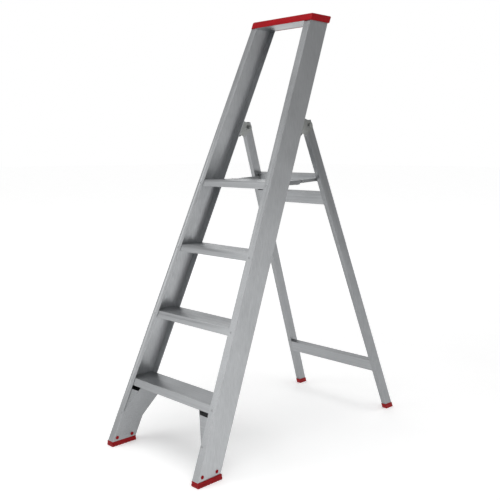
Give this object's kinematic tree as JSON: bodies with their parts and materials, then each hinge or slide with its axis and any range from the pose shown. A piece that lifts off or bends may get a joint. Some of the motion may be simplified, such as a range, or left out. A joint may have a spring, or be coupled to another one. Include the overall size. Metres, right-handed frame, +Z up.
{
  "type": "step ladder",
  "caption": "Aluminium step ladder with a hinged rear frame, ribbed treads, a lifting platform, a tall hand-rail and red plastic feet and cap.",
  "frame": {"origin": "on the floor, in the middle of the open ladder's footprint", "axes": "+Z up, the climbing side faces -Y, +X to the right of someone facing +Y"},
  "size_m": [0.508, 1.0872, 1.564],
  "materials": {
    "stile_aluminium": "satin anodised extrusion",
    "tread_aluminium": "ribbed mill-finish extrusion",
    "brace_aluminium": "mill-finish sheet",
    "rivet_aluminium": "plain",
    "zinc_steel": "zinc plated",
    "grey_steel": "grey powder coat",
    "black_plastic": "matte",
    "red_plastic": "moulded, satin"
  },
  "bodies": {
    "front_frame": {"left_front_stile": "stile_aluminium", "right_front_stile": "stile_aluminium", "tread_1": "tread_aluminium", "tread_2": "tread_aluminium", "tread_3": "tread_aluminium", "top_tread": "tread_aluminium", "top_crosspiece": "stile_aluminium", "top_cap": "red_plastic", "cap_screws": "zinc_steel", "left_gusset": "brace_aluminium", "right_gusset": "brace_aluminium", "gusset_rivets": "rivet_aluminium", "tread_rivets": "rivet_aluminium", "left_front_foot": "red_plastic", "right_front_foot": "red_plastic", "front_foot_pins": "red_plastic", "left_hinge_bracket": "zinc_steel", "right_hinge_bracket": "zinc_steel", "bracket_rivets": "rivet_aluminium", "hinge_bolts": "zinc_steel", "hinge_washers": "zinc_steel", "hinge_nuts": "zinc_steel", "fixed_hinge_leaves": "zinc_steel", "deck_hinge_pins": "zinc_steel", "fixed_leaf_rivets": "rivet_aluminium"},
    "rear_frame": {"left_rear_stile": "stile_aluminium", "right_rear_stile": "stile_aluminium", "lower_rear_bar": "brace_aluminium", "upper_rear_bar": "brace_aluminium", "platform_rest_bar": "brace_aluminium", "rear_bar_rivets": "rivet_aluminium", "stay_bosses": "zinc_steel", "stay_pivot_pins": "zinc_steel", "left_rear_foot": "red_plastic", "right_rear_foot": "red_plastic", "pivot_bushes": "black_plastic"},
    "platform": {"platform_deck": "tread_aluminium", "left_side_plate": "grey_steel", "right_side_plate": "grey_steel", "side_plate_rivets": "rivet_aluminium", "elbow_pins": "zinc_steel", "moving_hinge_leaves": "zinc_steel", "moving_leaf_rivets": "rivet_aluminium"},
    "left_stay_arm": {"left_stay": "grey_steel", "left_elbow_rivet": "zinc_steel"},
    "right_stay_arm": {"right_stay": "grey_steel", "right_elbow_rivet": "zinc_steel"}
  },
  "joints": [
    {"name": "rear_fold", "type": "hinge", "parent": "front_frame", "child": "rear_frame", "pos_m": [0, 0.07804, 1.161], "axis": [-1, 0, 0], "range_deg": [0, 43]},
    {"name": "deck_lift", "type": "hinge", "parent": "front_frame", "child": "platform", "pos_m": [0, -0.03792, 0.9554], "axis": [1, 0, 0], "range_deg": [0, 64.03]},
    {"name": "left_stay_swing", "type": "hinge", "parent": "rear_frame", "child": "left_stay_arm", "pos_m": [-0.15271, 0.14229, 0.962], "axis": [-1, 0, 0], "range_deg": [0, 61.84]},
    {"name": "right_stay_swing", "type": "hinge", "parent": "rear_frame", "child": "right_stay_arm", "pos_m": [0.15271, 0.14229, 0.962], "axis": [-1, 0, 0], "range_deg": [0, 61.84]}
  ],
  "couplings": [
    {"joint": "deck_lift", "follows": "rear_fold", "ratio": 1.489},
    {"joint": "left_stay_swing", "follows": "rear_fold", "ratio": 1.4381},
    {"joint": "right_stay_swing", "follows": "rear_fold", "ratio": 1.4381}
  ]
}
